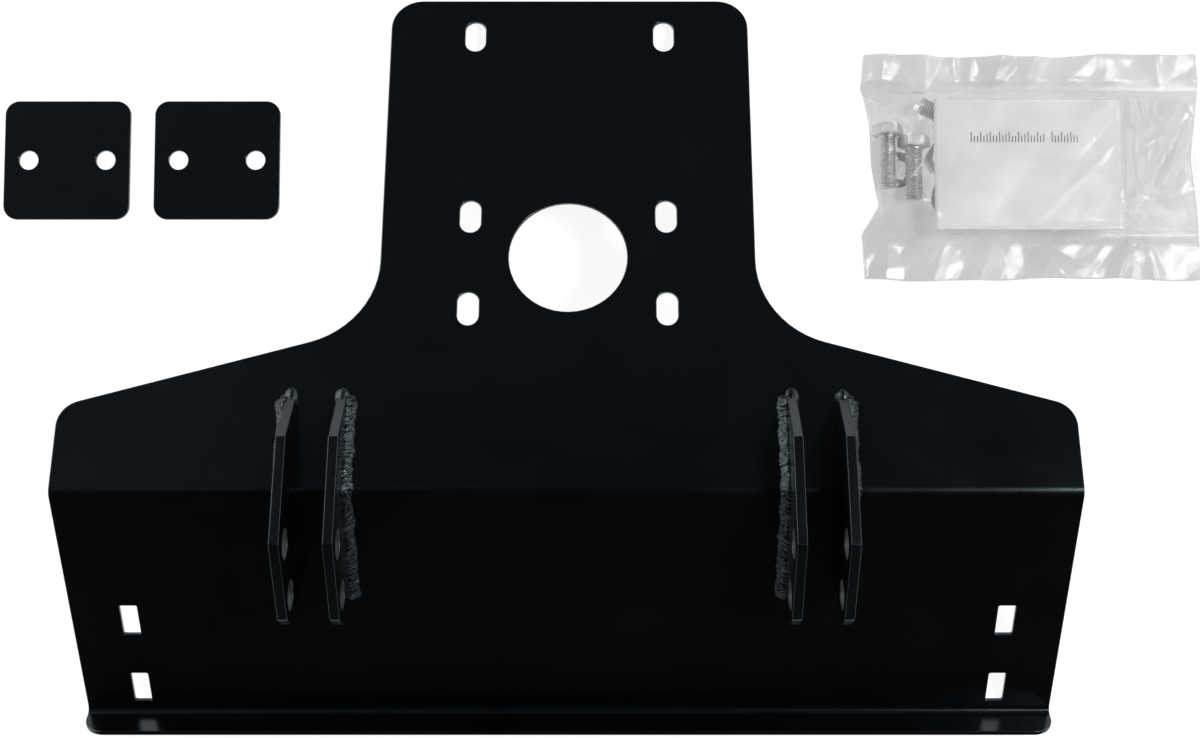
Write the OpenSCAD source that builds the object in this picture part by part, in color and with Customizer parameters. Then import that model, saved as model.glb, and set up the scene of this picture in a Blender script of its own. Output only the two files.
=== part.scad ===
// ATV plow mount kit: a bent T-shaped mount plate with four welded clevis ears,
// two backing plates, and a poly bag of hardware with its folded instruction card.
// The pieces lie on a table as they come out of the box: +X right, +Y away, +Z up.

/* [Mount plate] */
// Width of the mount plate from shoulder to shoulder
mount_w = 635; // [560:1:700]
// Thickness of the sheet
plate_t = 3.2; // [2.5:0.1:4.5]
// Upper panel, from the bend line to the far end of the stem
upper_len = 347.3; // [340:0.1:420]
// Width of the stem
stem_w = 241.3; // [230:0.1:260]
// Lower panel, from the bend line to the inner corner of the front flange
lower_len = 172.1; // [165:0.1:200]
// Angle through which the sheet turns at the main bend
bend_angle = 48.9; // [40:0.1:55]
// Inside radius of the main bend
bend_r = 6.4; // [4:0.1:9]
// Height of the front flange above the lower panel
flange_h = 20.5; // [19:0.5:28]
// Inside radius of the flange bend
flange_r = 4.8; // [3:0.1:5]
// Corner radius of the flange
flange_corner_r = 14; // [5:0.5:14]
// Where the shoulder line would meet the side, above the bend line
shoulder_y = 56.1; // [50:0.1:70]
// Slope of the shoulder line up to the stem, in degrees
shoulder_slope = 15.5; // [10:0.1:20]
// Radius of the shoulder corner
shoulder_r = 17; // [10:1:30]
// Radius of the inside corner between shoulder and stem
neck_r = 58; // [30:1:60]
// Radius of the stem's far corners
stem_r = 21; // [10:1:30]

/* [Holes in the mount plate] */
// Diameter of the large round hole
round_hole_d = 76.2; // [60:0.1:80]
// Its centre above the bend line
round_hole_y = 157.6; // [155:0.1:170]
// Distance between the two columns of slots
slot_pitch_x = 127; // [120:0.5:150]
// Width of a slot
slot_w = 13.6; // [10:0.1:16]
// Length of a slot, end to end
slot_len = 22.9; // [20:0.1:30]
// Distance between the two columns of carriage-bolt slots
square_pitch_x = 560.4; // [500:0.1:562]
// Width of a carriage-bolt slot
square_w = 11.1; // [10:0.1:14]
// Length of a carriage-bolt slot
square_len = 23; // [18:0.1:26]

/* [Clevis ears] */
// Thickness of an ear
ear_t = 6.35; // [5:0.05:8]
// Clear gap between the two ears of a pair
clevis_gap = 25.4; // [20:0.1:30]
// Distance from the middle of the plate to the middle of a pair
clevis_x = 155.9; // [150:0.1:170]
// Height of the ear above the upper panel
ear_h = 27.5; // [27:0.5:36]
// Diameter of the pin holes
pin_hole_d = 19.05; // [16:0.05:20]
// Distance between the two pin holes
pin_pitch = 38.1; // [34:0.1:40]
// Leg of the fillet weld
weld_leg = 6.5; // [4:0.1:8]

/* [Backing plates] */
// Width of a backing plate
backing_w = 85; // [80:0.5:95]
// Depth of a backing plate
backing_d = 81; // [60:0.5:90]
// Corner radius of a backing plate
backing_r = 9.5; // [4:0.5:15]
// Distance between its two holes
backing_pitch = 52.2; // [40:0.1:60]
// Diameter of its holes
backing_hole_d = 13; // [10:0.1:14]

/* [Hardware bag] */
// Width of the bag
bag_w = 230; // [230:1:240]
// Depth of the bag
bag_d = 156; // [150:1:170]
// Height of the filled bag
bag_h = 22.4; // [22.2:0.1:26]
// Thickness given to each film
film_t = 0.6; // [0.4:0.1:0.8]
// Width of the folded instruction card
card_w = 124; // [110:1:126]
// Depth of the folded instruction card
card_d = 88; // [80:1:90]
// Thickness of the folded card
card_t = 1; // [0.6:0.1:1.2]

/* [Fasteners] */
// Diameter of the bolt shank
bolt_d = 12; // [10:0.1:12]
// Length of the bolt under its head
bolt_len = 35; // [30:1:36]
// Width across the flats of bolt head and nut
hex_af = 19; // [17:0.5:19]
// Height of the bolt head
head_h = 7.5; // [6:0.1:7.5]
// Height of the nut
nut_h = 10; // [8:0.1:11]
// Outside diameter of the flat washer
washer_d = 24; // [20:0.5:24]
// Thickness of the flat washer
washer_t = 2.5; // [1.5:0.1:3]
// Outside diameter of the split lock washer
lock_d = 21; // [19:0.5:22]
// Thickness of the split lock washer
lock_t = 3; // [2:0.1:3]

/* [Hidden] */
$fn = 64;
eps = 0.01;

powder_black = [0.06, 0.065, 0.07];
zinc = [0.72, 0.73, 0.74];
film = [0.9, 0.92, 0.93, 0.4];
paper = [0.93, 0.93, 0.92];

half_w = mount_w / 2;
bend_out_r = bend_r + plate_t;
bend_setback = bend_out_r * tan(bend_angle / 2);
flange_out_r = flange_r + plate_t;
shoulder_rise = (half_w - stem_w / 2) * tan(shoulder_slope);

// The mount rests on the stem's lower far edge and on the round of the flange bend.
// Both are taken in the upper panel's frame: y along the panel, z off its face.
rest_edge = [upper_len, -plate_t];
flange_bend_c = low(lower_len - flange_r, flange_r);
rest_span = rest_edge - flange_bend_c;
rest_tilt = atan2(rest_span[1], rest_span[0]) + asin(flange_out_r / norm(rest_span));
bend_z = upper_len * sin(rest_tilt) + plate_t * cos(rest_tilt);

// The kit's box is centred on the origin in X and Y.
front_tip = low(lower_len + plate_t, flange_h);
mount_back = upper_len * cos(rest_tilt);
mount_front = front_tip[0] * cos(rest_tilt) + front_tip[1] * sin(rest_tilt);
bend_y = -(mount_back + mount_front) / 2;
kit_half_w = 405;
mount_x = -22.2;

// Rows of slots above the bend line, and of carriage-bolt slots below it.
slot_rows = [121.7, 186.1, 319.8];
square_rows = [97.5, 152.1];
square_corner_r = 1.2;

// Ear outline, along the panels and off them.
ear_toe = 65;
ear_top_back = 27.5;
ear_top_front = 39.5;
ear_foot = 71;
ear_nose = [61.5, 46.4];
ear_chin_h = 38.4;
ear_corner_r = 2;
pin_hole_at = 17;
pin_hole_h = 29.9;
weld_back = 63;
weld_front = 80;

backing_x = [-kit_half_w + backing_w / 2, -261];
backing_y = bend_y + 224.8;

bag_x = kit_half_w - bag_w / 2;
bag_y = bend_y + 220.2;
bag_waist = [7, 4];
seal_back = 49.5;
seal_front = 49;
card_at = [-6.7, -1.9];
stack_z = film_t;
card_z = stack_z + hex_af + 0.3;

// Places in the bag, from its middle: x, y and the direction of a shank.
bolt_places = [[-80.5, 11.6, -90], [-98.3, 19.5, -90], [-45, 25, 153], [18, -16, 20]];
nut_places = [[-61.8, 4.6, 0], [-14, 22, 30], [12, 8, 10], [-30, -26, 45]];
washer_places = [[-89.4, -2], [-56, -21], [38, 26], [-4, -30]];
lock_places = [[-40, -4], [40, -2], [-8, 0], [14, 30]];

// A point v along the lower panel from the bend line and h off its face.
function low(v, h) = [-v * cos(bend_angle) - h * sin(bend_angle),
                      -v * sin(bend_angle) + h * cos(bend_angle)];

function unit(v) = v / norm(v);

// Arc that rounds the corner p1 between p0 and p2.
function corner(p0, p1, p2, r, steps = 12) =
    r <= 0 ? [p1] :
    let (a = unit(p0 - p1), b = unit(p2 - p1),
         half = acos(a * b) / 2,
         c = p1 + unit(a + b) * r / sin(half),
         from = p1 + a * r / tan(half) - c,
         to = p1 + b * r / tan(half) - c,
         start = atan2(from[1], from[0]),
         sweep = (atan2(to[1], to[0]) - start + 540) % 360 - 180)
    [for (i = [0:steps]) c + r * [cos(start + sweep * i / steps), sin(start + sweep * i / steps)]];

// Outline through points, each rounded to its own radius.
function rounded(pts, radii) =
    let (n = len(pts))
    [for (i = [0:n - 1]) each corner(pts[(i + n - 1) % n], pts[i], pts[(i + 1) % n], radii[i])];

function rectangle(w, d) = [[-w / 2, -d / 2], [w / 2, -d / 2], [w / 2, d / 2], [-w / 2, d / 2]];

// ---- frames ----

// The mount's own frame: origin on the bend line, y up the upper panel, z off its face.
module at_mount() {
    translate([mount_x, bend_y, bend_z]) rotate([-rest_tilt, 0, 0]) children();
}

// The lower panel's frame: -y runs down the panel, z off its face.
module on_lower() {
    rotate([bend_angle, 0, 0]) children();
}

// Drawing plane x, y becomes y, z, and height becomes x.
module in_yz() {
    rotate([90, 0, 90]) children();
}

// ---- mount plate ----

// Points of an arc about c, from angle a0 through a turn.
function arc(c, r, a0, turn, steps = 16) =
    [for (i = [0:steps]) c + r * [cos(a0 + turn * i / steps), sin(a0 + turn * i / steps)]];

// One face of the bent sheet in side view, a depth below the upper face: upper panel,
// main bend, lower panel, flange bend and flange.
function sheet_face(depth) = concat(
    [[upper_len + 20, -depth]],
    arc([bend_setback, -bend_out_r], bend_out_r - depth, 90, bend_angle),
    [for (p = arc([lower_len - flange_r, flange_r], flange_r + depth, -90, 90)) low(p[0], p[1])],
    [low(lower_len + depth, flange_h)]);

function backwards(pts) = [for (i = [len(pts) - 1:-1:0]) pts[i]];

module bent_sheet() {
    in_yz() translate([0, 0, -half_w - 10]) linear_extrude(mount_w + 20)
        polygon(concat(sheet_face(0), backwards(sheet_face(plate_t))));
}

// The T outline, carried forward past the flange.
module plan_outline() {
    neck = [stem_w / 2, shoulder_y + shoulder_rise];
    right = [[half_w, -lower_len - 20], [half_w, shoulder_y], neck, [stem_w / 2, upper_len]];
    radii = [0, shoulder_r, neck_r, stem_r];
    translate([0, 0, -lower_len - 20]) linear_extrude(lower_len + 60)
        polygon(rounded(concat(right, [for (p = backwards(right)) [-p[0], p[1]]]),
                        concat(radii, backwards(radii))));
}

// Cuts the round of the flange's two upper corners.
module flange_corners() {
    c = [half_w - flange_corner_r, flange_h - flange_corner_r];
    on_lower() for (side = [0, 1]) mirror([side, 0, 0])
        translate([0, -lower_len + 1, 0]) rotate([90, 0, 0]) linear_extrude(plate_t + 2)
            polygon(concat([[half_w + 1, c[1]], [half_w + 1, flange_h + 1], [c[0], flange_h + 1]],
                           arc(c, flange_corner_r, 90, -90)));
}

module slot() {
    run = slot_len - slot_w;
    translate([0, 0, -2 * plate_t]) {
        translate([-slot_w / 2, -run / 2, 0]) cube([slot_w, run, 3 * plate_t]);
        for (side = [-1, 1]) translate([0, side * run / 2, 0]) cylinder(d = slot_w, h = 3 * plate_t);
    }
}

module mount_holes() {
    translate([0, round_hole_y, -2 * plate_t])
        cylinder(d = round_hole_d, h = 3 * plate_t, $fn = 128);
    for (side = [-1, 1]) {
        for (row = slot_rows) translate([side * slot_pitch_x / 2, row, 0]) slot();
        for (row = square_rows) on_lower()
            translate([side * square_pitch_x / 2, -row, -2 * plate_t])
                linear_extrude(3 * plate_t)
                    polygon(rounded(rectangle(square_w, square_len),
                        [for (i = [0:3]) square_corner_r]));
    }
}

module mount_plate() {
    color(powder_black) at_mount() difference() {
        intersection() {
            bent_sheet();
            plan_outline();
        }
        flange_corners();
        mount_holes();
    }
}

// ---- clevis ears and their welds ----

function ear_x(side, inner) = side * clevis_x - inner * side * (clevis_gap + ear_t) / 2;

module ear(side, inner) {
    outline = rounded(
        [[ear_toe, 0], [ear_top_back, ear_h], [-ear_top_front, ear_h],
         low(ear_nose[0], ear_nose[1]), low(ear_foot, ear_chin_h), low(ear_foot, 0), [0, 0]],
        [0, ear_corner_r, ear_corner_r, ear_corner_r, ear_corner_r, 0, 0]);
    color(powder_black) at_mount() translate([ear_x(side, inner) - ear_t / 2, 0, 0])
        difference() {
            in_yz() linear_extrude(ear_t) polygon(outline);
            for (i = [0, 1]) {
                hole = low(pin_hole_at + i * pin_pitch, pin_hole_h);
                translate([-ear_t, hole[0], hole[1]]) rotate([0, 90, 0])
                    cylinder(d = pin_hole_d, h = 3 * ear_t, $fn = 96);
            }
        }
}

// One slice of the bead, against the ear on one side and the panel below.
module weld_slice(out) {
    rotate([90, 0, 0]) linear_extrude(eps)
        polygon([[0, 0], [out * weld_leg, 0], [out * weld_leg * 0.6, weld_leg * 0.6], [0, weld_leg]]);
}

// The bead runs down the face of the ear that looks away from its pair.
module weld(side, inner) {
    out = -inner * side;
    color(powder_black) at_mount()
        translate([ear_x(side, inner) + out * ear_t / 2, 0, 0]) {
            hull() {
                translate([0, weld_back, 0]) weld_slice(out);
                rotate([bend_angle / 2, 0, 0]) weld_slice(out);
            }
            hull() {
                rotate([bend_angle / 2, 0, 0]) weld_slice(out);
                on_lower() translate([0, -weld_front, 0]) weld_slice(out);
            }
        }
}

// ---- backing plates ----

module backing_plate(i) {
    color(powder_black) translate([backing_x[i], backing_y, 0]) difference() {
        linear_extrude(plate_t)
            polygon(rounded(rectangle(backing_w, backing_d), [for (k = [0:3]) backing_r]));
        for (side = [-1, 1]) translate([side * backing_pitch / 2, 0, -plate_t])
            cylinder(d = backing_hole_d, h = 3 * plate_t);
    }
}

// ---- hardware bag ----

// The flat outline of the bag, with its filled sides drawn in a little.
function bag_outline() =
    [[-bag_w / 2, -bag_d / 2], [bag_w / 2, -bag_d / 2],
     [bag_w / 2, -seal_front], [bag_w / 2 - bag_waist[1], 0], [bag_w / 2, seal_back],
     [bag_w / 2, bag_d / 2], [-bag_w / 2, bag_d / 2],
     [-bag_w / 2, seal_back], [-bag_w / 2 + 2, 12],
     [-bag_w / 2 + bag_waist[0], -12], [-bag_w / 2, -seal_front]];

module bag_block(inset, top) {
    hull() {
        translate([-bag_w / 2 + 2 + inset, -seal_front + inset, film_t])
            cube([bag_w - 8 - 2 * inset, seal_front + seal_back - 2 * inset, eps]);
        translate([-bag_w / 2 + 3.5 + inset, -seal_front + 0.4 + inset, top - eps])
            cube([bag_w * 0.75 - 2 * inset, seal_front + seal_back - 2.4 - 2 * inset, eps]);
    }
}

module bag_back_film() {
    color(film) translate([bag_x, bag_y, 0]) linear_extrude(film_t) polygon(bag_outline());
}

module bag_front_film() {
    color(film) translate([bag_x, bag_y, 0]) difference() {
        union() {
            translate([0, 0, film_t]) linear_extrude(film_t) difference() {
                square([bag_w, bag_d], center = true);
                translate([0, (seal_back - seal_front) / 2])
                    square([bag_w + 1, seal_front + seal_back - 1], center = true);
            }
            bag_block(0, bag_h);
        }
        translate([0, 0, -eps]) bag_block(film_t, bag_h - film_t);
    }
}

module instruction_card() {
    color(paper) translate([bag_x + card_at[0], bag_y + card_at[1], card_z])
        translate([-card_w / 2, -card_d / 2, 0]) cube([card_w, card_d, card_t]);
}

// ---- fasteners, lying on the back film ----

function hex_r(af) = af / sqrt(3);

// A bolt on its side: the bearing face at the origin, the shank along +x.
module hex_bolt() {
    translate([0, 0, hex_af / 2]) rotate([0, 90, 0]) union() {
        translate([0, 0, -1]) cylinder(d = bolt_d, h = bolt_len);
        translate([0, 0, bolt_len - 1]) cylinder(d1 = bolt_d, d2 = bolt_d - 2, h = 1);
        translate([0, 0, -head_h]) rotate([0, 0, 30])
            cylinder(r = hex_r(hex_af), h = head_h, $fn = 6);
    }
}

module hex_bolts() {
    color(zinc) translate([bag_x, bag_y, stack_z])
        for (p = bolt_places) translate([p[0], p[1], 0]) rotate([0, 0, p[2]]) hex_bolt();
}

module hex_nuts() {
    color(zinc) translate([bag_x, bag_y, stack_z])
        for (p = nut_places) translate([p[0], p[1], 0]) rotate([0, 0, p[2]]) difference() {
            cylinder(r = hex_r(hex_af), h = nut_h, $fn = 6);
            translate([0, 0, -1]) cylinder(d = bolt_d + 0.2, h = nut_h + 2);
        }
}

module flat_washers() {
    color(zinc) translate([bag_x, bag_y, stack_z])
        for (p = washer_places) translate([p[0], p[1], 0]) difference() {
            cylinder(d = washer_d, h = washer_t);
            translate([0, 0, -1]) cylinder(d = bolt_d + 1, h = washer_t + 2);
        }
}

module lock_washers() {
    split_w = 1.2;
    color(zinc) translate([bag_x, bag_y, stack_z])
        for (p = lock_places) translate([p[0], p[1], 0]) difference() {
            cylinder(d = lock_d, h = lock_t);
            translate([0, 0, -1]) cylinder(d = bolt_d + 0.4, h = lock_t + 2);
            translate([0, -split_w / 2, -1]) cube([lock_d, split_w, lock_t + 2]);
        }
}

mount_plate();
ear(-1, -1);  // ear_left_outer
ear(-1, 1);  // ear_left_inner
ear(1, 1);  // ear_right_inner
ear(1, -1);  // ear_right_outer
weld(-1, -1);  // weld_left_outer
weld(-1, 1);  // weld_left_inner
weld(1, 1);  // weld_right_inner
weld(1, -1);  // weld_right_outer
backing_plate(0);  // backing_plate_left
backing_plate(1);  // backing_plate_right
bag_back_film();
bag_front_film();
instruction_card();
hex_bolts();
hex_nuts();
flat_washers();
lock_washers();
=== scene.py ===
import math

import bpy
import numpy as np
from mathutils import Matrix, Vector


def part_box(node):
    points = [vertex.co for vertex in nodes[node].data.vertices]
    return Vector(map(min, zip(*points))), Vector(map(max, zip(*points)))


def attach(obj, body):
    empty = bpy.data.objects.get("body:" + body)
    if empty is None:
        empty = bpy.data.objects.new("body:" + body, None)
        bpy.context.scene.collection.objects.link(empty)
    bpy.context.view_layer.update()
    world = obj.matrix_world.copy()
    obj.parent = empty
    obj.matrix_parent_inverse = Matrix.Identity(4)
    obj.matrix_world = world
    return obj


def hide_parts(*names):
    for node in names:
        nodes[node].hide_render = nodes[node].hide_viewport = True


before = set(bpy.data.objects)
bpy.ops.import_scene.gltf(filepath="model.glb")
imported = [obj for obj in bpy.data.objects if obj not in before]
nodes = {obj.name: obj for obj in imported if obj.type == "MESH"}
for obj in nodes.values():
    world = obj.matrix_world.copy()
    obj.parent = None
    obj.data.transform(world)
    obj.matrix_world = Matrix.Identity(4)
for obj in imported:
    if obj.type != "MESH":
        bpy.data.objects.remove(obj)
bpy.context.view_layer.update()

MM = 0.001
SEED = 7

# ---- the design's own dimensions, in millimetres and degrees ----

# the mount plate: the upper panel's tilt, the main bend, and the bend's place in the CAD frame
REST_TILT = 15.523
BEND_ANGLE = 48.9
BEND_OUT_R = 9.6
BEND_START = 4.2
LOWER_START = 4.4
BEND_Y = -88.483
BEND_Z = 96.031

# the ears: their toe on the upper panel, and the pin holes along and above the lower panel
EAR_T = 6.35
EAR_TOE = 65.0
PIN_ROWS = (17.0, 55.1)
PIN_HEIGHT = 29.9
PIN_R = 9.525

# the weld beads: WELD_RISE is the height over the leg, WELD_ROOT is how deep the section is sunk,
# and the pools are the radii of the lumps round the toe and at the bead's start
WELD_LEG = 6.5
WELD_RISE = 0.72
WELD_FRONT = 80.0
WELD_ROOT = 0.8
WELD_STEP = 0.4
WELD_VOXEL = 0.42
TOE_POOL = (5.0, 6.4, 4.6)
START_POOL = (3.5, 3.8, 3.4)

# M12 fasteners; a washer is (outer diameter, bore, thickness)
HEX_AF = 19.0
HEAD_H = 7.5
BOLT_R = 6.0
BOLT_LEN = 35.0
THREAD_PITCH = 1.75
THREAD_STEPS = 6
NUT_H = 10.0
WASHER = (24.0, 13.0, 2.5)
LOCK_WASHER = (21.0, 12.4, 2.5)
LOCK_WASHER_LIFT = 0.5

# where the fasteners lie, from the bag's middle: x, y and, for bolts and nuts, the heading
FLOOR_OF_BAG = 0.6
BOLTS = ((-80.5, 11.6, -90), (-98.3, 19.5, -90), (-45, 25, 153), (18, -16, 20))
NUTS = ((-61.8, 4.6, 0), (-14, 22, 30), (12, 8, 10), (-30, -26, 45))
WASHERS = ((-89.4, -2), (-56, -21), (38, 26), (-4, -30))
LOCKS = ((-40, -4), (40, -2), (-8, 0), (14, 30))

# the folded card and the poly bag; a seal is a band in y
CARD_W, CARD_D = 124.0, 88.0
PLIES = 5
PLY = 0.16
BAG_W, BAG_D = 230.0, 156.0
SEAL_BACK = (51.0, 54.5)
SEAL_FRONT = (-48.5, -44.5)
FILM_T = 0.16

bag_low, bag_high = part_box("bag_back_film")
BAG_C = ((bag_low + bag_high) / 2 / MM)[:2]
card_low, card_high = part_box("instruction_card")
CARD_C = ((card_low + card_high) / 2 / MM)[:2]
CARD_Z = card_low.z / MM
CARD_TOP = card_high.z / MM
CARD_PITCH = (card_high.z - card_low.z) / MM / PLIES
plate_low, plate_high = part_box("mount_plate")
MOUNT_X = (plate_low.x + plate_high.x) / 2 / MM


# ---- frames ----

def low(v, h):
    """A point v down the lower panel and h off it, as (y, z) in the upper panel's frame."""
    b = math.radians(BEND_ANGLE)
    return -v * math.cos(b) - h * math.sin(b), -v * math.sin(b) + h * math.cos(b)


def mounted(points):
    """Points in the upper panel's frame, turned and moved to the CAD frame."""
    p = np.asarray(points, float)
    t = math.radians(REST_TILT)
    out = np.empty_like(p)
    out[..., 0] = MOUNT_X + p[..., 0]
    out[..., 1] = BEND_Y + p[..., 1] * math.cos(t) + p[..., 2] * math.sin(t)
    out[..., 2] = BEND_Z - p[..., 1] * math.sin(t) + p[..., 2] * math.cos(t)
    return out


def in_bag(verts, x, y):
    """A fastener's points, moved to its place on the bag's back film."""
    return verts + np.array([BAG_C[0] + x, BAG_C[1] + y, FLOOR_OF_BAG])


# ---- mesh helpers ----

def grid_faces(rows, cols, wrap_cols=False, wrap_rows=False, start=0, flip=False):
    faces = []
    for r in range(rows if wrap_rows else rows - 1):
        for c in range(cols if wrap_cols else cols - 1):
            a = start + r * cols + c
            b = start + r * cols + (c + 1) % cols
            d = start + ((r + 1) % rows) * cols + c
            e = start + ((r + 1) % rows) * cols + (c + 1) % cols
            faces.append((a, d, e, b) if flip else (a, b, e, d))
    return faces


def grid_rim(rows, cols):
    """The edges round a grid, as pairs of its point numbers."""
    ring = [i * cols for i in range(rows)]
    ring += [(rows - 1) * cols + j for j in range(1, cols)]
    ring += [i * cols + cols - 1 for i in range(rows - 2, -1, -1)]
    ring += list(range(cols - 2, 0, -1))
    return list(zip(ring, ring[1:] + ring[:1]))


def shade_smooth(mesh):
    mesh.polygons.foreach_set("use_smooth", [True] * len(mesh.polygons))


def add_object(name, verts, faces, materials, smooth=True, indices=None):
    mesh = bpy.data.meshes.new(name)
    mesh.from_pydata((np.asarray(verts, float) * MM).tolist(), [], faces)
    for m in materials:
        mesh.materials.append(m)
    if smooth:
        shade_smooth(mesh)
    if indices is not None:
        mesh.polygons.foreach_set("material_index", indices)
    mesh.validate()
    mesh.update()
    obj = bpy.data.objects.new(name, mesh)
    bpy.context.scene.collection.objects.link(obj)
    return obj


class Parts:
    """Gathers several closed shells into one mesh."""

    def __init__(self):
        self.verts, self.faces, self.count = [], [], 0

    def add(self, verts, faces):
        verts = np.asarray(verts, float).reshape(-1, 3)
        self.verts.append(verts)
        self.faces += [tuple(i + self.count for i in f) for f in faces]
        self.count += len(verts)

    def all(self):
        return np.concatenate(self.verts), self.faces


def revolve(profile_rows, segments, close=False):
    """Rows of (radius, height), each a number or an array over the angle, capped or closed."""
    a = np.linspace(0, 2 * math.pi, segments, endpoint=False)
    rows = []
    for radius, height in profile_rows:
        r = np.broadcast_to(np.asarray(radius, float), a.shape)
        z = np.broadcast_to(np.asarray(height, float), a.shape)
        rows.append(np.stack([r * np.cos(a), r * np.sin(a), z], 1))
    n = len(rows)
    faces = grid_faces(n, segments, wrap_cols=True, wrap_rows=close)
    if not close:
        faces.append(tuple(range(segments))[::-1])
        faces.append(tuple((n - 1) * segments + i for i in range(segments)))
    return np.concatenate(rows), faces


def turned(verts, degrees, axis):
    angle = math.radians(degrees)
    c, s = math.cos(angle), math.sin(angle)
    v = np.asarray(verts, float).copy()
    i, j = {"y": (2, 0), "z": (0, 1)}[axis]
    v[:, i], v[:, j] = v[:, i] * c - v[:, j] * s, v[:, i] * s + v[:, j] * c
    return v


# ---- materials ----

# the values that a noise texture mostly stays between
NOISE_SPAN = (0.3, 0.7)
WHITE = (1, 1, 1, 1)


def grey(value):
    return value, value, value


class Look:
    """A procedural material: its shader, and the patterns that drive the shader."""

    def __init__(self, name):
        self.material = bpy.data.materials.new(name)
        self.material.use_nodes = True
        self.tree = self.material.node_tree
        self.tree.nodes.clear()
        out = self.node("OutputMaterial")
        self.shader = self.node("BsdfPrincipled")
        self.feed({"Surface": self.shader.outputs["BSDF"]}, out)
        self.coords = self.node("TexCoord").outputs["Object"]

    def node(self, kind, **settings):
        n = self.tree.nodes.new("ShaderNode" + kind)
        for key, value in settings.items():
            setattr(n, key, value)
        return n

    def feed(self, inputs, node=None):
        """Fills sockets by name or number: another node's output is linked, a value is set."""
        node = node or self.shader
        for key, value in inputs.items():
            if isinstance(value, bpy.types.NodeSocket):
                self.tree.links.new(value, node.inputs[key])
            else:
                node.inputs[key].default_value = value

    def noise(self, scale, detail=3.0, roughness=0.5, distortion=0.0):
        n = self.node("TexNoise")
        self.feed({"Scale": scale, "Detail": detail, "Roughness": roughness,
                   "Distortion": distortion, "Vector": self.coords}, n)
        return n.outputs["Fac"]

    def mapped(self, value, low_out, high_out, span=NOISE_SPAN):
        n = self.node("MapRange")
        self.feed({"Value": value, "From Min": span[0], "From Max": span[1],
                   "To Min": low_out, "To Max": high_out}, n)
        return n.outputs["Result"]

    def ramp(self, value, dark, light, span=NOISE_SPAN):
        n = self.node("ValToRGB")
        for stop, at, colour in zip(n.color_ramp.elements, span, (dark, light)):
            stop.position = at
            stop.color = (*colour, 1)
        self.feed({"Fac": value}, n)
        return n.outputs["Color"]

    def mix(self, data_type, factor, a, b):
        n = self.node("Mix", data_type=data_type)
        self.feed({"Factor": factor, "A": a, "B": b}, n)
        return n.outputs["Result"]

    def bump(self, layers):
        """Stacks layers of (height, strength, distance in metres)."""
        normal = None
        for height, strength, distance in layers:
            n = self.node("Bump")
            self.feed({"Strength": strength, "Distance": distance, "Height": height}, n)
            if normal is not None:
                self.feed({"Normal": normal}, n)
            normal = n.outputs["Normal"]
        self.feed({"Normal": normal})


# powder coat: near-black, with a cool gloss; inside the pins' holes it is painted paler, painted
# light that stands for the light on the holes' walls
COAT_DARK, COAT_LIGHT = (0.0007, 0.0009, 0.0014), (0.0012, 0.0015, 0.0021)
COAT_GLOSS_TINT = (0.70, 0.90, 1.0, 1)
BORE_PAINTED_LIGHT = (*grey(0.040), 1)
BORE_ROUGHNESS = 0.5
BORE_FADE = (0.02, 0.1)
FILM_TONE = 0.42


def bore_mask(look):
    """One inside the pin holes of the ears, where the painted light and a rougher coat go, nought
    elsewhere.
    """
    split, join = look.node("SeparateXYZ"), look.node("CombineXYZ")
    look.feed({"Vector": look.coords}, split)
    look.feed({"Y": split.outputs["Y"], "Z": split.outputs["Z"]}, join)
    nearest = None
    for along in PIN_ROWS:
        centre = mounted([[0, *low(along, PIN_HEIGHT)]])[0]
        away = look.node("VectorMath", operation="DISTANCE")
        look.feed({0: join.outputs["Vector"], 1: (0, centre[1] * MM, centre[2] * MM)}, away)
        if nearest is None:
            nearest = away.outputs["Value"]
        else:
            least = look.node("Math", operation="MINIMUM")
            look.feed({0: nearest, 1: away.outputs["Value"]}, least)
            nearest = least.outputs["Value"]
    return look.mapped(nearest, 1.0, 0.0, [(PIN_R + fade) * MM for fade in BORE_FADE])


def powder_coat(name, rough, peel, pits=0.0, bores=False):
    """peel is the depth of the orange peel, pits that of the coarse pores over a weld."""
    look = Look(name)
    colour = look.ramp(look.noise(9.0, 4.0, 0.6), COAT_DARK, COAT_LIGHT)
    smudge = look.noise(22.0, 5.0, 0.62, 0.4)
    roughness = look.mapped(smudge, rough - 0.025, rough + 0.035)
    if bores:
        inside = bore_mask(look)
        # inside the holes the colour is paler: painted light on the holes' walls
        colour = look.mix("RGBA", inside, colour, BORE_PAINTED_LIGHT)
        roughness = look.mix("FLOAT", inside, roughness, BORE_ROUGHNESS)
    look.feed({"Base Color": colour, "Roughness": roughness, "IOR": 1.5,
               "Specular Tint": COAT_GLOSS_TINT})
    layers = [(look.noise(430.0, 2.0), peel, 0.00012),
              (look.noise(1700.0, 1.0), peel * 0.6, 0.00003)]
    if pits:
        layers.insert(0, (look.noise(260.0, 5.0, 0.7, 0.8), pits, 0.0006))
    look.bump(layers)
    return look.material


def zinc_plate():
    look = Look("zinc_plate")
    cloud = look.noise(120.0, 4.0, 0.6)
    look.feed({"Base Color": look.ramp(cloud, (0.52, 0.525, 0.53), grey(0.76), (0.25, 0.75)),
               "Metallic": 0.75,
               "Roughness": look.mapped(look.noise(300.0), 0.34, 0.48)})
    look.bump([(look.noise(1400.0, 2.0), 0.12, 0.00005)])
    return look.material


def poly_film(name, alpha_low, alpha_high, specular):
    """Clear film with a faint haze; alpha is how much of it shows over what is behind."""
    look = Look(name)
    haze = look.noise(18.0, 4.0, 0.55, 0.5)
    look.feed({"Base Color": look.ramp(haze, grey(0.8 * FILM_TONE), grey(1.12 * FILM_TONE),
                                       (0.25, 0.75)),
               "Alpha": look.mapped(haze, alpha_low, alpha_high),
               "Roughness": look.mapped(look.noise(70.0), 0.17, 0.28),
               "IOR": 1.51,
               "Specular IOR Level": specular})
    look.bump([(look.noise(45.0, 2.0, 0.5, 0.3), 0.16, 0.0012),
               (look.noise(420.0, 2.0), 0.06, 0.0002)])
    return look.material


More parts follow.
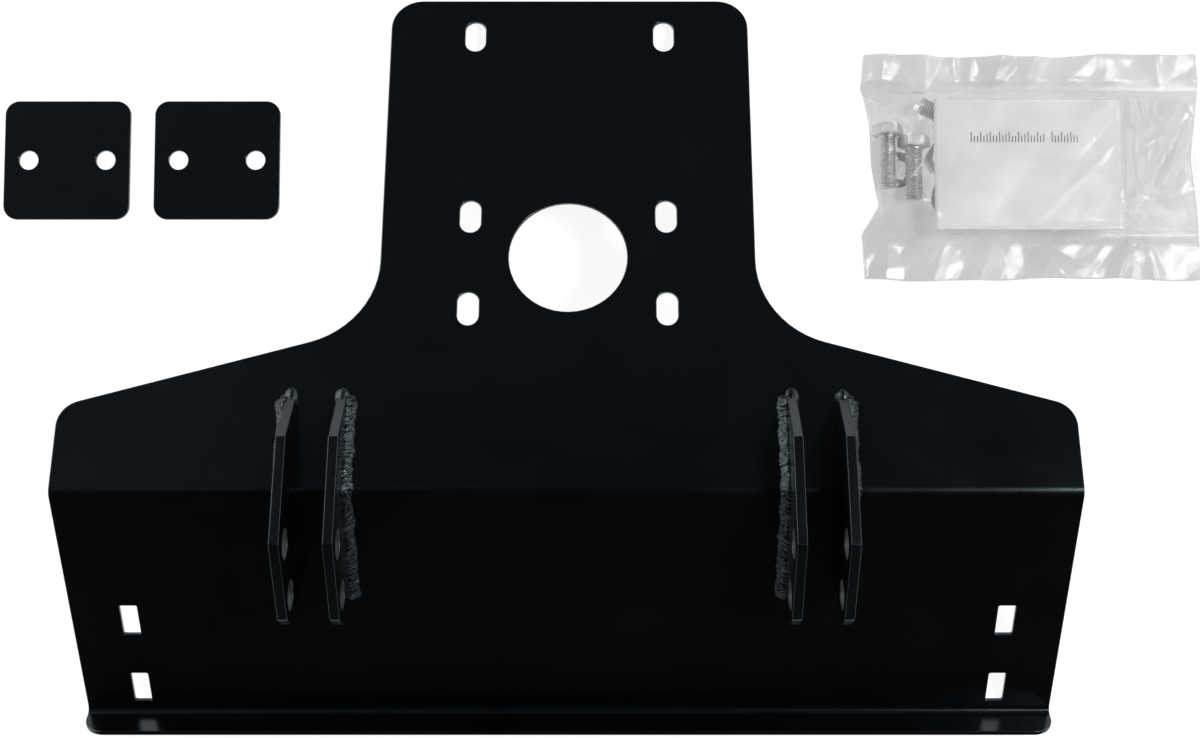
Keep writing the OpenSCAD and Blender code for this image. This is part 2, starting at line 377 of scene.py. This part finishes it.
def paper():
    look = Look("card_paper_white_painted_glow")
    fibre = look.noise(900.0, 4.0, 0.65)
    look.feed({"Base Color": look.ramp(fibre, grey(0.83), grey(0.89)),
               "Roughness": look.mapped(fibre, 0.72, 0.86),
               # the card glows faintly: painted light, not a lamp
               "Emission Color": WHITE,
               "Emission Strength": 0.05})
    look.bump([(look.noise(14.0, 2.0), 0.25, 0.0015), (fibre, 0.12, 0.00006)])
    return look.material


def ink():
    look = Look("card_ink_grey")
    grain = look.noise(1500.0, 3.0, 0.6)
    look.feed({"Base Color": look.ramp(grain, (0.028, 0.028, 0.03), (0.10, 0.10, 0.105),
                                       (0.3, 0.75)),
               "Roughness": look.mapped(grain, 0.55, 0.75)})
    look.bump([(grain, 0.1, 0.00004)])
    return look.material


coat = powder_coat("powder_coat_black", 0.20, 0.20)
ear_coat = powder_coat("powder_coat_ears_painted_bore_light", 0.25, 0.22, bores=True)
weld_coat = powder_coat("powder_coat_over_weld", 0.25, 0.35, pits=0.8)
zinc = zinc_plate()
film_outer = poly_film("poly_film_outer", 0.17, 0.30, 1.0)
film_back = poly_film("poly_film_back", 0.40, 0.56, 0.6)
film_inner = poly_film("poly_film_inner", 0.02, 0.04, 0.5)
paper_white = paper()
ink_grey = ink()


# ---- CAD nodes that stay: coat, and softened sheet edges ----

def dress(node, mat, edge_width):
    obj = nodes[node]
    mesh = obj.data
    shade_smooth(mesh)
    for layer in ("custom_normal", "sharp_edge", "sharp_face"):
        if layer in mesh.attributes:
            mesh.attributes.remove(mesh.attributes[layer])
    for s in obj.material_slots:
        s.material = mat
    # the CAD faces are cut into slivers, so they are merged before their edges are rounded
    merge = obj.modifiers.new("merge", "WELD")
    merge.merge_threshold = 2e-6
    flat = obj.modifiers.new("flat_facets", "DECIMATE")
    flat.decimate_type = "DISSOLVE"
    flat.angle_limit = math.radians(0.4)
    bevel = obj.modifiers.new("edge_round", "BEVEL")
    bevel.width = edge_width * MM
    bevel.segments = 3
    bevel.limit_method = "ANGLE"
    bevel.angle_limit = math.radians(38)
    bevel.use_clamp_overlap = False
    normals = obj.modifiers.new("flat_faces", "WEIGHTED_NORMAL")
    normals.weight = 100
    normals.keep_sharp = False


dress("mount_plate", coat, 0.7)
for side in ("left", "right"):
    dress(f"backing_plate_{side}", coat, 0.6)
    for where in ("outer", "inner"):
        dress(f"ear_{side}_{where}", ear_coat, 0.75)


# ---- weld beads ----

def weld_path():
    """The foot line of an ear as (y, z) in the upper panel's frame, from the toe down the face."""
    points = []

    def straight(p, q):
        count = max(2, int(math.dist(p, q) / WELD_STEP))
        for i in range(count):
            k = i / count
            points.append([p[j] + (q[j] - p[j]) * k for j in (0, 1)])

    straight((EAR_TOE - 3.5, 0), (BEND_START, 0))
    bend_steps = 12
    for i in range(bend_steps):
        a = math.radians(BEND_ANGLE * i / bend_steps)
        points.append([BEND_START - BEND_OUT_R * math.sin(a), -BEND_OUT_R * (1 - math.cos(a))])
    straight(low(LOWER_START, 0), low(WELD_FRONT, 0))
    return np.array(points)


def panel_up(y, z):
    """The direction off the panel's upper face at a point of the foot line."""
    b = math.radians(BEND_ANGLE)
    if y >= BEND_START:
        return np.array([0, 0, 1.0])
    on_bend = z > -BEND_OUT_R * (1 - math.cos(b))
    a = min(b, math.asin(min(1.0, (BEND_START - y) / BEND_OUT_R))) if on_bend else b
    return np.array([0, -math.sin(a), math.cos(a)])


def rippled_fillet(rng):
    """The sections of a bead, each a closed ring of (x out from the ear's face, y, z)."""
    path = weld_path()
    n = len(path)
    steps = np.linalg.norm(np.diff(path, axis=0), axis=1)
    s = np.concatenate([[0], np.cumsum(steps)])
    total = s[-1]
    # ripples of uneven spacing and height, slow swells, and a roughness grid of 6 across
    marks = [0.0]
    while marks[-1] < total + 8:
        marks.append(marks[-1] + rng.uniform(2.0, 3.9))
    marks = np.array(marks)
    heights = rng.uniform(0.35, 1.0, len(marks))
    lump = 0
    for _ in range(5):
        swell, wave, shift = rng.uniform(0.15, 0.34), rng.uniform(9, 38), rng.uniform(0, 6)
        lump = lump + swell * np.sin(2 * math.pi * s / wave + shift)
    rough = rng.normal(0, 1, (n // 3 + 2, 6))
    # both ends are rounded, the start is fuller, and the bead flattens over its first 10 mm
    ends = np.clip(np.minimum(s, total - s) / 3.2, 0, 1)
    ends = np.sqrt(1 - (1 - ends) ** 2)
    start_blob = 1 + 0.16 * np.exp(-((s - 5) / 5) ** 2)
    rise = 1 + (WELD_RISE - 1) * np.clip((s - 1) / 9, 0, 1)

    across = 15
    t = np.linspace(0, 1, across)
    a = t * math.pi / 2
    belly = 1 - 0.24 * np.sin(2 * a)
    sections = []
    for i, (y, z) in enumerate(path):
        up = panel_up(y, z)
        leg = (WELD_LEG * (0.86 + 0.13 * lump[i]) * start_blob[i]) * ends[i] + 0.15
        phase = s[i] + 1.3 * np.cos((t - 0.5) * math.pi)
        k = np.clip(np.searchsorted(marks, phase) - 1, 0, len(marks) - 2)
        f = (phase - marks[k]) / (marks[k + 1] - marks[k])
        ripple = heights[k] * (np.sin(math.pi * np.clip(f, 0, 1)) ** 0.6) * 0.75
        fine = rng.normal(0, 0.03, across) + 0.24 * np.interp(t * 5, range(6), rough[i // 3])
        surface = ripple * (0.45 + 0.55 * np.sin(math.pi * t)) + fine
        radius = leg * belly + surface * ends[i]
        off = radius * np.sin(a)
        height = radius * np.cos(a) * rise[i]
        # the feet and the last point run into the ear and the panel, so that nothing gapes
        off[0], height[-1] = -WELD_ROOT, -WELD_ROOT
        section = np.zeros((across + 1, 3))
        section[:across, 0] = off
        section[:across, 1] = y
        section[:across, 2] = z
        section[:across] += height[:, None] * up
        section[across] = np.array([-WELD_ROOT, y, z]) - WELD_ROOT * up
        sections.append(section)
    return np.array(sections)


def pool(radii, rng):
    """An uneven ellipsoid of weld metal."""
    rows, cols = 18, 28
    verts, faces = [(0, 0, -1)], []
    for i in range(1, rows):
        a = math.pi * i / rows
        for j in range(cols):
            b = 2 * math.pi * j / cols
            verts.append((math.sin(a) * math.cos(b), math.sin(a) * math.sin(b), -math.cos(a)))
    verts.append((0, 0, 1))
    last_row = 1 + (rows - 2) * cols
    for j in range(cols):
        k = (j + 1) % cols
        faces.append((0, 1 + k, 1 + j))
        faces.append((len(verts) - 1, last_row + j, last_row + k))
    faces += grid_faces(rows - 1, cols, wrap_cols=True, start=1)
    x, y, z = np.array(verts, float).T
    shift = rng.uniform(0, 6, 3)
    swell = 1 + 0.035 * np.sin(4 * x + shift[0]) + 0.035 * np.sin(5 * y + shift[1])
    swell = swell + 0.03 * np.sin(6 * z + shift[2])
    return np.array(verts) * swell[:, None] * np.array(radii), faces


def weld_bead(name, node, face_x, out, pool_size, rng):
    """The bead on the ear's face at face_x, whose outside is towards out, 1 or -1 along x."""
    sections = rippled_fillet(rng)
    sections[..., 0] = face_x + out * sections[..., 0]
    n, cols = sections.shape[:2]
    faces = grid_faces(n, cols, wrap_cols=True, flip=out < 0)
    first, last = tuple(range(cols)), tuple((n - 1) * cols + i for i in range(cols))
    faces += [first[::-1], last] if out > 0 else [first, last[::-1]]
    parts = Parts()
    parts.add(mounted(sections.reshape(-1, 3)), [f[::-1] for f in faces])
    # one pool of metal goes round the toe, and a smaller one lies where the bead starts
    round_toe = (face_x - out * EAR_T / 2, EAR_TOE - 3.4, 0.0)
    at_start = (face_x + out * 2.4 * pool_size, EAR_TOE - 5.5, 0.4)
    start_radii = (START_POOL[0] * pool_size, START_POOL[1], START_POOL[2] * pool_size)
    for centre, radii in ((round_toe, TOE_POOL), (at_start, start_radii)):
        ball, ball_faces = pool(radii, rng)
        parts.add(mounted(ball + np.array(centre)), ball_faces)
    obj = add_object(name, *parts.all(), [weld_coat])
    fused = obj.modifiers.new("fused", "REMESH")
    fused.mode = "VOXEL"
    fused.voxel_size = WELD_VOXEL * MM
    fused.use_smooth_shade = True
    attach(obj, "mount")
    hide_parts(node)


weld_rng = np.random.default_rng(SEED)
for side, sign in (("left", -1), ("right", 1)):
    for where, direction, pool_size in (("outer", sign, 0.72), ("inner", -sign, 1.0)):
        ear_low, ear_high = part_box(f"ear_{side}_{where}")
        face_x = (ear_high.x if direction > 0 else ear_low.x) / MM - MOUNT_X
        weld_bead(f"weld_bead_{side}_{where}", f"weld_{side}_{where}", face_x, direction,
                  pool_size, weld_rng)


# ---- fasteners ----

HEX_SEGMENTS = 96
SHANK_SEGMENTS = 40
WASHER_SEGMENTS = 72


def hex_rows(height, crown_top, crown_bottom):
    """Rows of a hexagon from z=0 to height with its corners cut by cones."""
    a = np.degrees(np.linspace(0, 2 * math.pi, HEX_SEGMENTS, endpoint=False))
    r = HEX_AF / 2 / np.cos(np.radians((a % 60) - 30))
    flat = HEX_AF / 2 * 0.965
    drop = np.maximum(r - flat, 0) * math.tan(math.radians(28))
    if crown_bottom:
        rows = [(flat, 0), (r - 0.1, drop), (r, drop + 0.12)]
    else:
        rows = [(flat - 0.4, 0), (flat - 0.3, 0.4), (r - 0.1, 0.45), (r, 0.6)]
    if crown_top:
        rows += [(r, height - drop - 0.12), (r - 0.1, height - drop), (flat, height)]
    return rows


def bolt_mesh():
    """The head, below z=0, and the threaded shank, above it."""
    rows = hex_rows(HEAD_H, crown_top=True, crown_bottom=False)
    rows.append((HEX_AF / 2 * 0.6, HEAD_H - 0.02))
    head, head_faces = revolve(rows, HEX_SEGMENTS)
    head[:, 2] *= -1

    # rows that follow the helix, so crests and roots are clean lines
    start, depth, chamfer = 0.8, 1.0, 1.6
    turn = np.linspace(0, 1, SHANK_SEGMENTS, endpoint=False)
    rows = [(BOLT_R - 0.1, -1.0), (BOLT_R - 0.1, 0.6)]
    last = int(THREAD_STEPS * (BOLT_LEN - start) / THREAD_PITCH)
    for k in range(-THREAD_STEPS, last + 1):
        z = start + (k / THREAD_STEPS + turn) * THREAD_PITCH
        z = np.clip(z, start + (k + THREAD_STEPS) * 1e-3, BOLT_LEN - 0.02 - (last - k) * 1e-3)
        cut = 1.0 - abs(2 * ((k / THREAD_STEPS) % 1.0) - 1)
        run_in = np.clip((z - start) / 1.5, 0, 1)
        tip = np.clip((z - (BOLT_LEN - chamfer)) / chamfer, 0, 1)
        r = BOLT_R - 0.08 - depth * cut * run_in
        rows.append((np.minimum(r, BOLT_R - 1.25 * tip), z))
    rows.append((BOLT_R - 1.4, BOLT_LEN))
    return (head, [f[::-1] for f in head_faces]), revolve(rows, SHANK_SEGMENTS)


def nut_mesh():
    bore = BOLT_R + 0.15
    rows = hex_rows(NUT_H, crown_top=True, crown_bottom=True)
    rows += [(bore + 0.8, NUT_H), (bore + 0.1, NUT_H - 0.8)]
    turn = np.linspace(0, 1, HEX_SEGMENTS, endpoint=False)
    for z in np.arange(NUT_H - 1.0, 0.9, -THREAD_PITCH / THREAD_STEPS):
        phase = (z / THREAD_PITCH - turn) % 1.0
        rows.append((bore - 0.75 * (1 - np.abs(2 * phase - 1)) + 0.3, z))
    rows += [(bore + 0.1, 0.8), (bore + 0.8, 0)]
    return revolve(rows, HEX_SEGMENTS, close=True)


def washer_mesh(outer, bore, thick):
    ro, ri, e = outer / 2, bore / 2, 0.28
    e3 = e * 0.3
    rows = [(ri + e, 0), (ro - e, 0), (ro - e3, e3),
            (ro, e), (ro, thick - e), (ro - e3, thick - e3),
            (ro - e, thick), (ri + e, thick), (ri + e3, thick - e3),
            (ri, thick - e), (ri, e), (ri + e3, e3)]
    return revolve(rows, WASHER_SEGMENTS, close=True)


def lock_washer_mesh(outer, bore, thick):
    """A ring cut open, its end lifted by LOCK_WASHER_LIFT; gap is half the opening in degrees."""
    ro, ri, e, gap = outer / 2, bore / 2, 0.3, 4.5
    section = [(ri + e, 0), (ro - e, 0), (ro, e), (ro, thick - e),
               (ro - e, thick), (ri + e, thick), (ri, thick - e), (ri, e)]
    verts = []
    for i in range(WASHER_SEGMENTS + 1):
        share = i / WASHER_SEGMENTS
        a = math.radians(gap + (360 - 2 * gap) * i / WASHER_SEGMENTS)
        verts += [(r * math.cos(a), r * math.sin(a), z + LOCK_WASHER_LIFT * share)
                  for r, z in section]
    n = len(section)
    faces = grid_faces(WASHER_SEGMENTS + 1, n, wrap_cols=True)
    faces += [tuple(range(n))[::-1], tuple(WASHER_SEGMENTS * n + i for i in range(n))]
    return np.array(verts), [f[::-1] for f in faces]


def fastener_group(name, node, shells):
    parts = Parts()
    for v, f in shells:
        parts.add(v, f)
    obj = add_object(name, *parts.all(), [zinc])
    obj.data.set_sharp_from_angle(angle=math.radians(32))
    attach(obj, "hardware_bag")
    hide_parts(node)


shells = []
for x, y, heading in BOLTS:
    for v, f in bolt_mesh():
        # a flat of the head down, the shank along x, then raised so that the head rests
        v = turned(turned(v, 30, "z"), 90, "y") + np.array([0, 0, HEX_AF / 2])
        shells.append((in_bag(turned(v, heading, "z"), x, y), f))
fastener_group("hex_bolt_set", "hex_bolts", shells)

shells = []
for x, y, heading in NUTS:
    v, f = nut_mesh()
    shells.append((in_bag(turned(v, heading, "z"), x, y), f))
fastener_group("hex_nut_set", "hex_nuts", shells)

v, f = washer_mesh(*WASHER)
fastener_group("flat_washer_set", "flat_washers", [(in_bag(v, x, y), f) for x, y in WASHERS])

v, f = lock_washer_mesh(*LOCK_WASHER)
fastener_group("lock_washer_set", "lock_washers", [(in_bag(v, x, y), f) for x, y in LOCKS])


# ---- folded card ----

# how far each ply stands back at its open edges, from the lowest
PLY_INSETS = (0.9, 0.2, 1.1, 0.4, 0.0)


def card_height(x, y, k):
    """Height of ply k's lower face at a point of the card: slightly wavy, springing up at +X."""
    share = k / PLIES
    lift = 0.25 * share * (1 + np.sin(x / 23 + k) * np.cos(y / 17 + 0.6 * k))
    edge = np.maximum(0, x / (CARD_W / 2) - 0.86) / 0.14
    return CARD_Z + k * CARD_PITCH + (lift + 0.35 * edge ** 2 * share)


def card_sheets():
    """A sheet folded to five plies, each a thin slab."""
    parts = Parts()
    nx, ny = 50, 36
    n = nx * ny
    for k, inset in enumerate(PLY_INSETS):
        x = np.linspace(-CARD_W / 2 + inset * 0.3, CARD_W / 2 - inset, nx)
        y = np.linspace(-CARD_D / 2 + inset * 0.5, CARD_D / 2 - inset * 0.2, ny)
        gx, gy = np.meshgrid(x, y, indexing="ij")
        z = card_height(gx, gy, k)
        top = np.stack([gx, gy, z + PLY], -1).reshape(-1, 3)
        bottom = np.stack([gx, gy, z], -1).reshape(-1, 3)
        faces = grid_faces(nx, ny, flip=True) + grid_faces(nx, ny, start=n)
        faces += [(a + n, b + n, b, a) for a, b in grid_rim(nx, ny)]
        parts.add(np.concatenate([top, bottom]) + np.array([CARD_C[0], CARD_C[1], 0]), faces)
    return parts.all()


card = add_object("folded_card", *card_sheets(), [paper_white])
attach(card, "hardware_bag")
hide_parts("instruction_card")


def card_print():
    """Rows of plain tick marks that stand for a printed line; they spell nothing."""
    parts = Parts()
    stroke, low_y, high_y = 0.62, 14.9, 22.0
    box_faces = [(3, 2, 1, 0), (4, 5, 6, 7), (0, 1, 5, 4),
                 (1, 2, 6, 5), (2, 3, 7, 6), (3, 0, 4, 7)]

    def bar(x, share):
        top = low_y + share * (high_y - low_y)
        corners = ((x, low_y), (x + stroke, low_y), (x + stroke, top), (x, top))
        verts = [(CARD_C[0] + a, CARD_C[1] + b, card_height(a, b, PLIES - 1) + PLY + c)
                 for c in (-0.1, 0.03) for a, b in corners]
        parts.add(verts, box_faces)

    x = -37.6
    for count in (8, 3):
        for i in range(count):
            bar(x, 1)
            bar(x + 2.1, 0.62)
            bar(x + 4.2, (0.62, 0.8)[i % 2])
            x += 6.3
        x += 3.4
    return parts.all()


print_marks = add_object("card_print_marks", *card_print(), [ink_grey], smooth=False)
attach(print_marks, "hardware_bag")


# ---- poly bag ----

NX, NY = 231, 157
SLACK_PASSES = 900

# how far the side edges are drawn in, as (y, inset) from front to back
LEFT_INSETS = ((-78, 2.0), (-60, 0.8), (-47, 0.2), (-40, 4.5), (-27, 12.0), (0, 7.4),
               (27, 6.4), (48, 2.4), (54, 0.2), (78, 2.4))
RIGHT_INSETS = ((-78, 1.6), (-50, 1.4), (-25, 2.6), (6, 5.6), (24, 3.6), (50, 0.3),
                (58, 0.0), (78, 1.0))

# flutes of the open margins outside the seals: x, half width, height and lean
BACK_FLUTES = ((-100, 11, 2.6, 0.05), (-71, 12, 4.2, 0.0), (-51, 6, 1.7, -0.04),
               (-40, 9, 2.6, 0.1), (-22, 17, 5.6, 0.34), (1, 13, 4.6, 0.27),
               (52, 18, 1.6, 0.1), (88, 14, 2.0, -0.1))
FRONT_FLUTES = ((-98, 12, 1.9, 0.1), (-62, 18, 1.6, 0.3), (-31, 14, 4.6, 0.28),
                (10, 22, 2.6, -0.9), (62, 9, 1.9, 0.3), (80, 8, 1.5, -0.2))

# the main creases between the seals: a line of points, half width and height
CREASES = (
    (((-91, 20), (-88.5, 9), (-90, 1), (-96, -10), (-97, -22), (-99, -34)), 2.6, 1.7),
    (((66, -42), (74, -26), (88, -6), (97, 14), (108, 34)), 9.0, 4.6),
    (((62, -20), (74, -2), (88, 22), (98, 44)), 8.0, 3.4),
    (((71, 44), (72, 34), (76, 26)), 4.0, 2.6),
    (((83, 46), (79, 34), (86, 20)), 4.0, 2.0),
    (((-2, -42), (10, -28), (30, -10), (52, 12)), 5.0, 0.18),
    (((-108, 44), (-100, 30), (-88, 24)), 3.5, 1.2),
    (((-96, -36), (-84, -30), (-70, -34)), 6.0, 1.6),
    (((102, 8), (113, 4)), 3.5, 1.5),
    (((70, -20), (90, -24), (108, -18)), 6.0, 1.4),
    (((78, -34), (94, -38), (110, -30)), 5.0, 1.2),
)


def smooth(v, lo, hi):
    t = np.clip((v - lo) / (hi - lo), 0, 1)
    return t * t * (3 - 2 * t)


def crumple(x, y, rng, count, shortest, longest, slope):
    """Sum of warped triangle waves: flat facets that meet in sharp creases."""
    wx = x + 5 * np.sin(y / 17 + 1.1) + 2.2 * np.sin(x / 9 + y / 13)
    wy = y + 4 * np.sin(x / 21 + 0.4) + 2.0 * np.cos(y / 11 - x / 15)
    total = np.zeros_like(x)
    for _ in range(count):
        wave = rng.uniform(shortest, longest)
        a = rng.uniform(0, math.pi)
        u = (wx * math.cos(a) + wy * math.sin(a)) / wave + rng.uniform(0, 1)
        triangle = 1 - np.abs(2 * (u % 1.0) - 1)
        total += wave * slope * triangle * rng.uniform(0.5, 1.0)
    return total


def crease(x, y, points, width, height):
    """A ridge along a line of points, in bag millimetres."""
    best = np.full_like(x, 1e9)
    for (xa, ya), (xb, yb) in zip(points, points[1:]):
        dx, dy = xb - xa, yb - ya
        k = np.clip(((x - xa) * dx + (y - ya) * dy) / (dx * dx + dy * dy), 0, 1)
        best = np.minimum(best, np.hypot(x - xa - k * dx, y - ya - k * dy))
    return height * np.maximum(0, 1 - best / width) ** 1.2


def flutes(x, y, ridges, middle, narrow, grow, strength):
    """Ridges across a margin, from narrow times their width at the seal to all of it."""
    total = 0
    for centre, width, tall, lean in ridges:
        across = np.abs(x - centre - lean * (y - middle))
        d = across / (width * (narrow + (1 - narrow) * grow))
        total = total + tall * strength * np.maximum(0, 1 - d)
    return total


def edge_insets(table, y):
    """Insets along a side edge, read from its table and smoothed."""
    at, inset = zip(*table)
    kernel = np.hanning(9) / np.hanning(9).sum()
    return np.convolve(np.pad(np.interp(y, at, inset), 4, mode="edge"), kernel, "valid")


def bag_plan():
    """The flat grid, pulled to the bag's wavy outline."""
    u = np.linspace(-1, 1, NX)
    v = np.linspace(-1, 1, NY)
    gu, gv = np.meshgrid(u, v, indexing="ij")
    left = -BAG_W / 2 + edge_insets(LEFT_INSETS, v * BAG_D / 2)
    right = BAG_W / 2 - edge_insets(RIGHT_INSETS, v * BAG_D / 2)
    x = left[None, :] * (1 - gu) / 2 + right[None, :] * (1 + gu) / 2
    top = 1.3 + 1.1 * np.sin(x / 34 + 2.2) + 0.5 * np.sin(x / 11)
    bottom = 1.0 + 0.9 * np.sin(x / 29 + 0.5) + 0.4 * np.sin(x / 9 + 1)
    y = (-BAG_D / 2 + bottom) * (1 - gv) / 2 + (BAG_D / 2 - top) * (1 + gv) / 2
    return x, y


def past_card(x, y):
    """How far a point of the bag lies outside the card's edges; negative on the card."""
    cx, cy = CARD_C[0] - BAG_C[0], CARD_C[1] - BAG_C[1]
    return np.maximum(np.abs(x - cx) - CARD_W / 2, np.abs(y - cy) - CARD_D / 2)


def contents_height(x, y):
    """Upper surface of what is in the bag, above the floor."""
    h = np.zeros_like(x)
    for bx, by, heading in BOLTS:
        c, s = math.cos(math.radians(heading)), math.sin(math.radians(heading))
        along = (x - bx) * c + (y - by) * s
        across = np.abs(-(x - bx) * s + (y - by) * c)
        on_shank = (along > 0) & (along < BOLT_LEN) & (across < BOLT_R)
        shank = HEX_AF / 2 + np.sqrt(np.maximum(BOLT_R ** 2 - across ** 2, 0))
        on_head = (along > -HEAD_H) & (along <= 0) & (across < HEX_AF / 2)
        h = np.maximum(h, np.where(on_shank, shank, 0))
        h = np.maximum(h, np.where(on_head, HEX_AF - 0.3 * across, 0))
    for px, py, _ in NUTS:
        h = np.maximum(h, np.where(np.hypot(x - px, y - py) < HEX_AF / 2 + 0.5, NUT_H, 0))
    for px, py in WASHERS:
        h = np.maximum(h, np.where(np.hypot(x - px, y - py) < WASHER[0] / 2, WASHER[2], 0))
    return np.where(past_card(x, y) < 0.3, CARD_TOP + 0.35, h + FLOOR_OF_BAG)


def bag_heights(x, y):
    """The front film's heights, the margins' waves, and where the two films lie together."""
    rng = np.random.default_rng(SEED + 2)
    clearance, pressed = 0.3, 0.95
    filled = (y < SEAL_BACK[0]) & (y > SEAL_FRONT[1])
    over_contents = np.maximum(contents_height(x, y) + clearance, pressed)
    target = np.where(filled, over_contents, pressed)
    fixed = ~filled
    fixed[0, :] = fixed[-1, :] = True
    # a slack skin over the contents: never below them, otherwise the mean of its neighbours
    h = target.copy()
    for _ in range(SLACK_PASSES):
        mean = h.copy()
        mean[1:-1, 1:-1] = (h[2:, 1:-1] + h[:-2, 1:-1] + h[1:-1, 2:] + h[1:-1, :-2]) / 4
        h = np.where(fixed, target, np.maximum(mean, target))

    # wrinkles, weakest on the card and none on the seals
    from_seal = np.minimum(np.abs(y - sum(SEAL_BACK) / 2), np.abs(y - sum(SEAL_FRONT) / 2))
    free = smooth(from_seal, 2.0, 7.0)
    loose = smooth(past_card(x, y), 0.0, 9.0)
    margin = smooth(np.maximum(y - SEAL_BACK[1], SEAL_FRONT[0] - y), 0.0, 6.0)
    facets = crumple(x, y, rng, 6, 26, 70, 0.085)
    h += free * (0.10 + 0.90 * loose) * (1 - 0.6 * margin) * facets
    h += free * loose * (1 - margin) * crumple(x, y, rng, 3, 9, 16, 0.035)
    for points, width, tall in CREASES:
        h += crease(x, y, points, width, tall) * free * (1 - margin)

    # the open margins, where both films wave together
    wave = (0.05 + margin) * crumple(x, y, rng, 4, 22, 60, 0.02)
    grow = np.clip((y - SEAL_BACK[1] + 1) / 20, 0, 1)
    wave += flutes(x, y, BACK_FLUTES, 66, 0.25, grow, grow) * (y > SEAL_BACK[1])
    grow = np.clip((SEAL_FRONT[0] + 1 - y) / 22, 0, 1)
    strength = 0.25 + 0.75 * grow
    wave += flutes(x, y, FRONT_FLUTES, -62, 0.3, grow, strength) * (y < SEAL_FRONT[0])

    # pressed seals: a fine ridge along each side
    for line in SEAL_BACK + SEAL_FRONT:
        from_line = np.abs(y - line - 0.35 * np.sin(x / 19))
        h += 0.55 * np.maximum(0, 1 - from_line / 0.9)
    sealed = margin + (~filled) * (1 - margin)
    return h + wave, wave, np.clip(sealed, 0, 1)


def film_solid(name, node, x, y, z, out_sign):
    """A thin closed sheet: the outer face first, then the inner one, then the rim."""
    n = NX * NY
    outer = np.stack([x + BAG_C[0], y + BAG_C[1], z], -1).reshape(-1, 3)
    inner = outer - np.array([0, 0, FILM_T * out_sign])
    up = out_sign > 0
    faces_out = grid_faces(NX, NY, flip=up)
    faces_in = grid_faces(NX, NY, start=n, flip=not up)
    rim = [(a, a + n, b + n, b) if up else (b, b + n, a + n, a) for a, b in grid_rim(NX, NY)]
    indices = [0] * len(faces_out) + [1] * len(faces_in) + [0] * len(rim)
    obj = add_object(name, np.concatenate([outer, inner]), faces_out + faces_in + rim,
                     [film_outer if up else film_back, film_inner], indices=indices)
    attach(obj, "hardware_bag")
    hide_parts(node)


bag_x, bag_y = bag_plan()
front_z, margin_wave, sealed = bag_heights(bag_x, bag_y)
film_solid("bag_front_sheet", "bag_front_film", bag_x, bag_y, front_z, 1)

back_rng = np.random.default_rng(SEED + 5)
back_z = 0.12 + margin_wave * sealed
back_z += 0.12 * crumple(bag_x, bag_y, back_rng, 4, 10, 30, 0.01)
back_z = np.minimum(back_z, front_z - FILM_T - 0.25)
film_solid("bag_back_sheet", "bag_back_film", bag_x, bag_y, back_z, -1)


# ---- camera, floor and light, in metres; the camera's lens and sensor are in millimetres ----

CAMERA_AT = (-0.0016, -0.0883, 1.1180)
CAMERA_TILT = 4.245
CAMERA_LENS, CAMERA_SENSOR = 50.0, 36.0
FLOOR_HALF = 40.0
FLOOR_Z = -0.0002
GLOW_FADE = (0.45, 3.2)

cam_data = bpy.data.cameras.new("camera")
cam_data.sensor_width = CAMERA_SENSOR
cam_data.lens = CAMERA_LENS
cam_data.clip_start = 0.01
cam_data.clip_end = 50
camera = bpy.data.objects.new("camera", cam_data)
camera.location = CAMERA_AT
camera.rotation_euler = (math.radians(CAMERA_TILT), 0, 0)
bpy.context.scene.collection.objects.link(camera)
bpy.context.scene.camera = camera


def pale_floor():
    """A matt floor with a glow of its own that fades away from the middle."""
    look = Look("pale_floor")
    from_middle = look.node("VectorMath", operation="LENGTH")
    look.feed({0: look.coords}, from_middle)
    look.feed({"Base Color": look.ramp(look.noise(3.0, 2.0), grey(0.27), grey(0.29)),
               "Roughness": 0.9,
               "Specular IOR Level": 0.1,
               "Emission Color": WHITE,
               "Emission Strength": look.mapped(from_middle.outputs["Value"], 0.90, 0.62,
                                                GLOW_FADE)})
    return look.material


floor = bpy.data.objects.new("floor", bpy.data.meshes.new("floor"))
floor.data.from_pydata([(x * FLOOR_HALF, y * FLOOR_HALF, FLOOR_Z)
                        for x, y in ((-1, -1), (1, -1), (1, 1), (-1, 1))],
                       [], [(0, 1, 2, 3)])
floor.data.materials.append(pale_floor())
bpy.context.scene.collection.objects.link(floor)


def softbox(name, at, aim, size, radiance):
    data = bpy.data.lights.new(name, "AREA")
    data.shape = "RECTANGLE"
    data.size, data.size_y = size
    data.energy = radiance * math.pi * size[0] * size[1]
    obj = bpy.data.objects.new(name, data)
    obj.location = at
    direction = Vector(np.array(aim) - np.array(at))
    obj.rotation_euler = direction.to_track_quat("-Z", "Y").to_euler()
    bpy.context.scene.collection.objects.link(obj)


softbox("softbox_left", (-1.75, 0.75, 0.75), (0, 0, 0), (2.2, 1.2), 4.4)
softbox("softbox_right", (1.75, 0.75, 0.75), (0, 0, 0), (2.0, 1.2), 2.5)
softbox("softbox_high_right", (1.3, 0.1, 2.0), (0.2, 0.1, 0), (0.6, 0.6), 29.0)
softbox("ceiling_card", (-1.05, 0.6, 2.5), (-0.3, 0.1, 0), (1.9, 1.3), 0.110)
softbox("far_card", (0.0, 2.5, 2.4), (0, 0, 0), (2.4, 1.7), 0.080)

world = bpy.data.worlds.new("studio")
world.use_nodes = True
background = world.node_tree.nodes["Background"]
background.inputs["Color"].default_value = (0.96, 0.98, 1.0, 1)
background.inputs["Strength"].default_value = 0.030
bpy.context.scene.world = world
bpy.context.scene.view_settings.view_transform = "Standard"
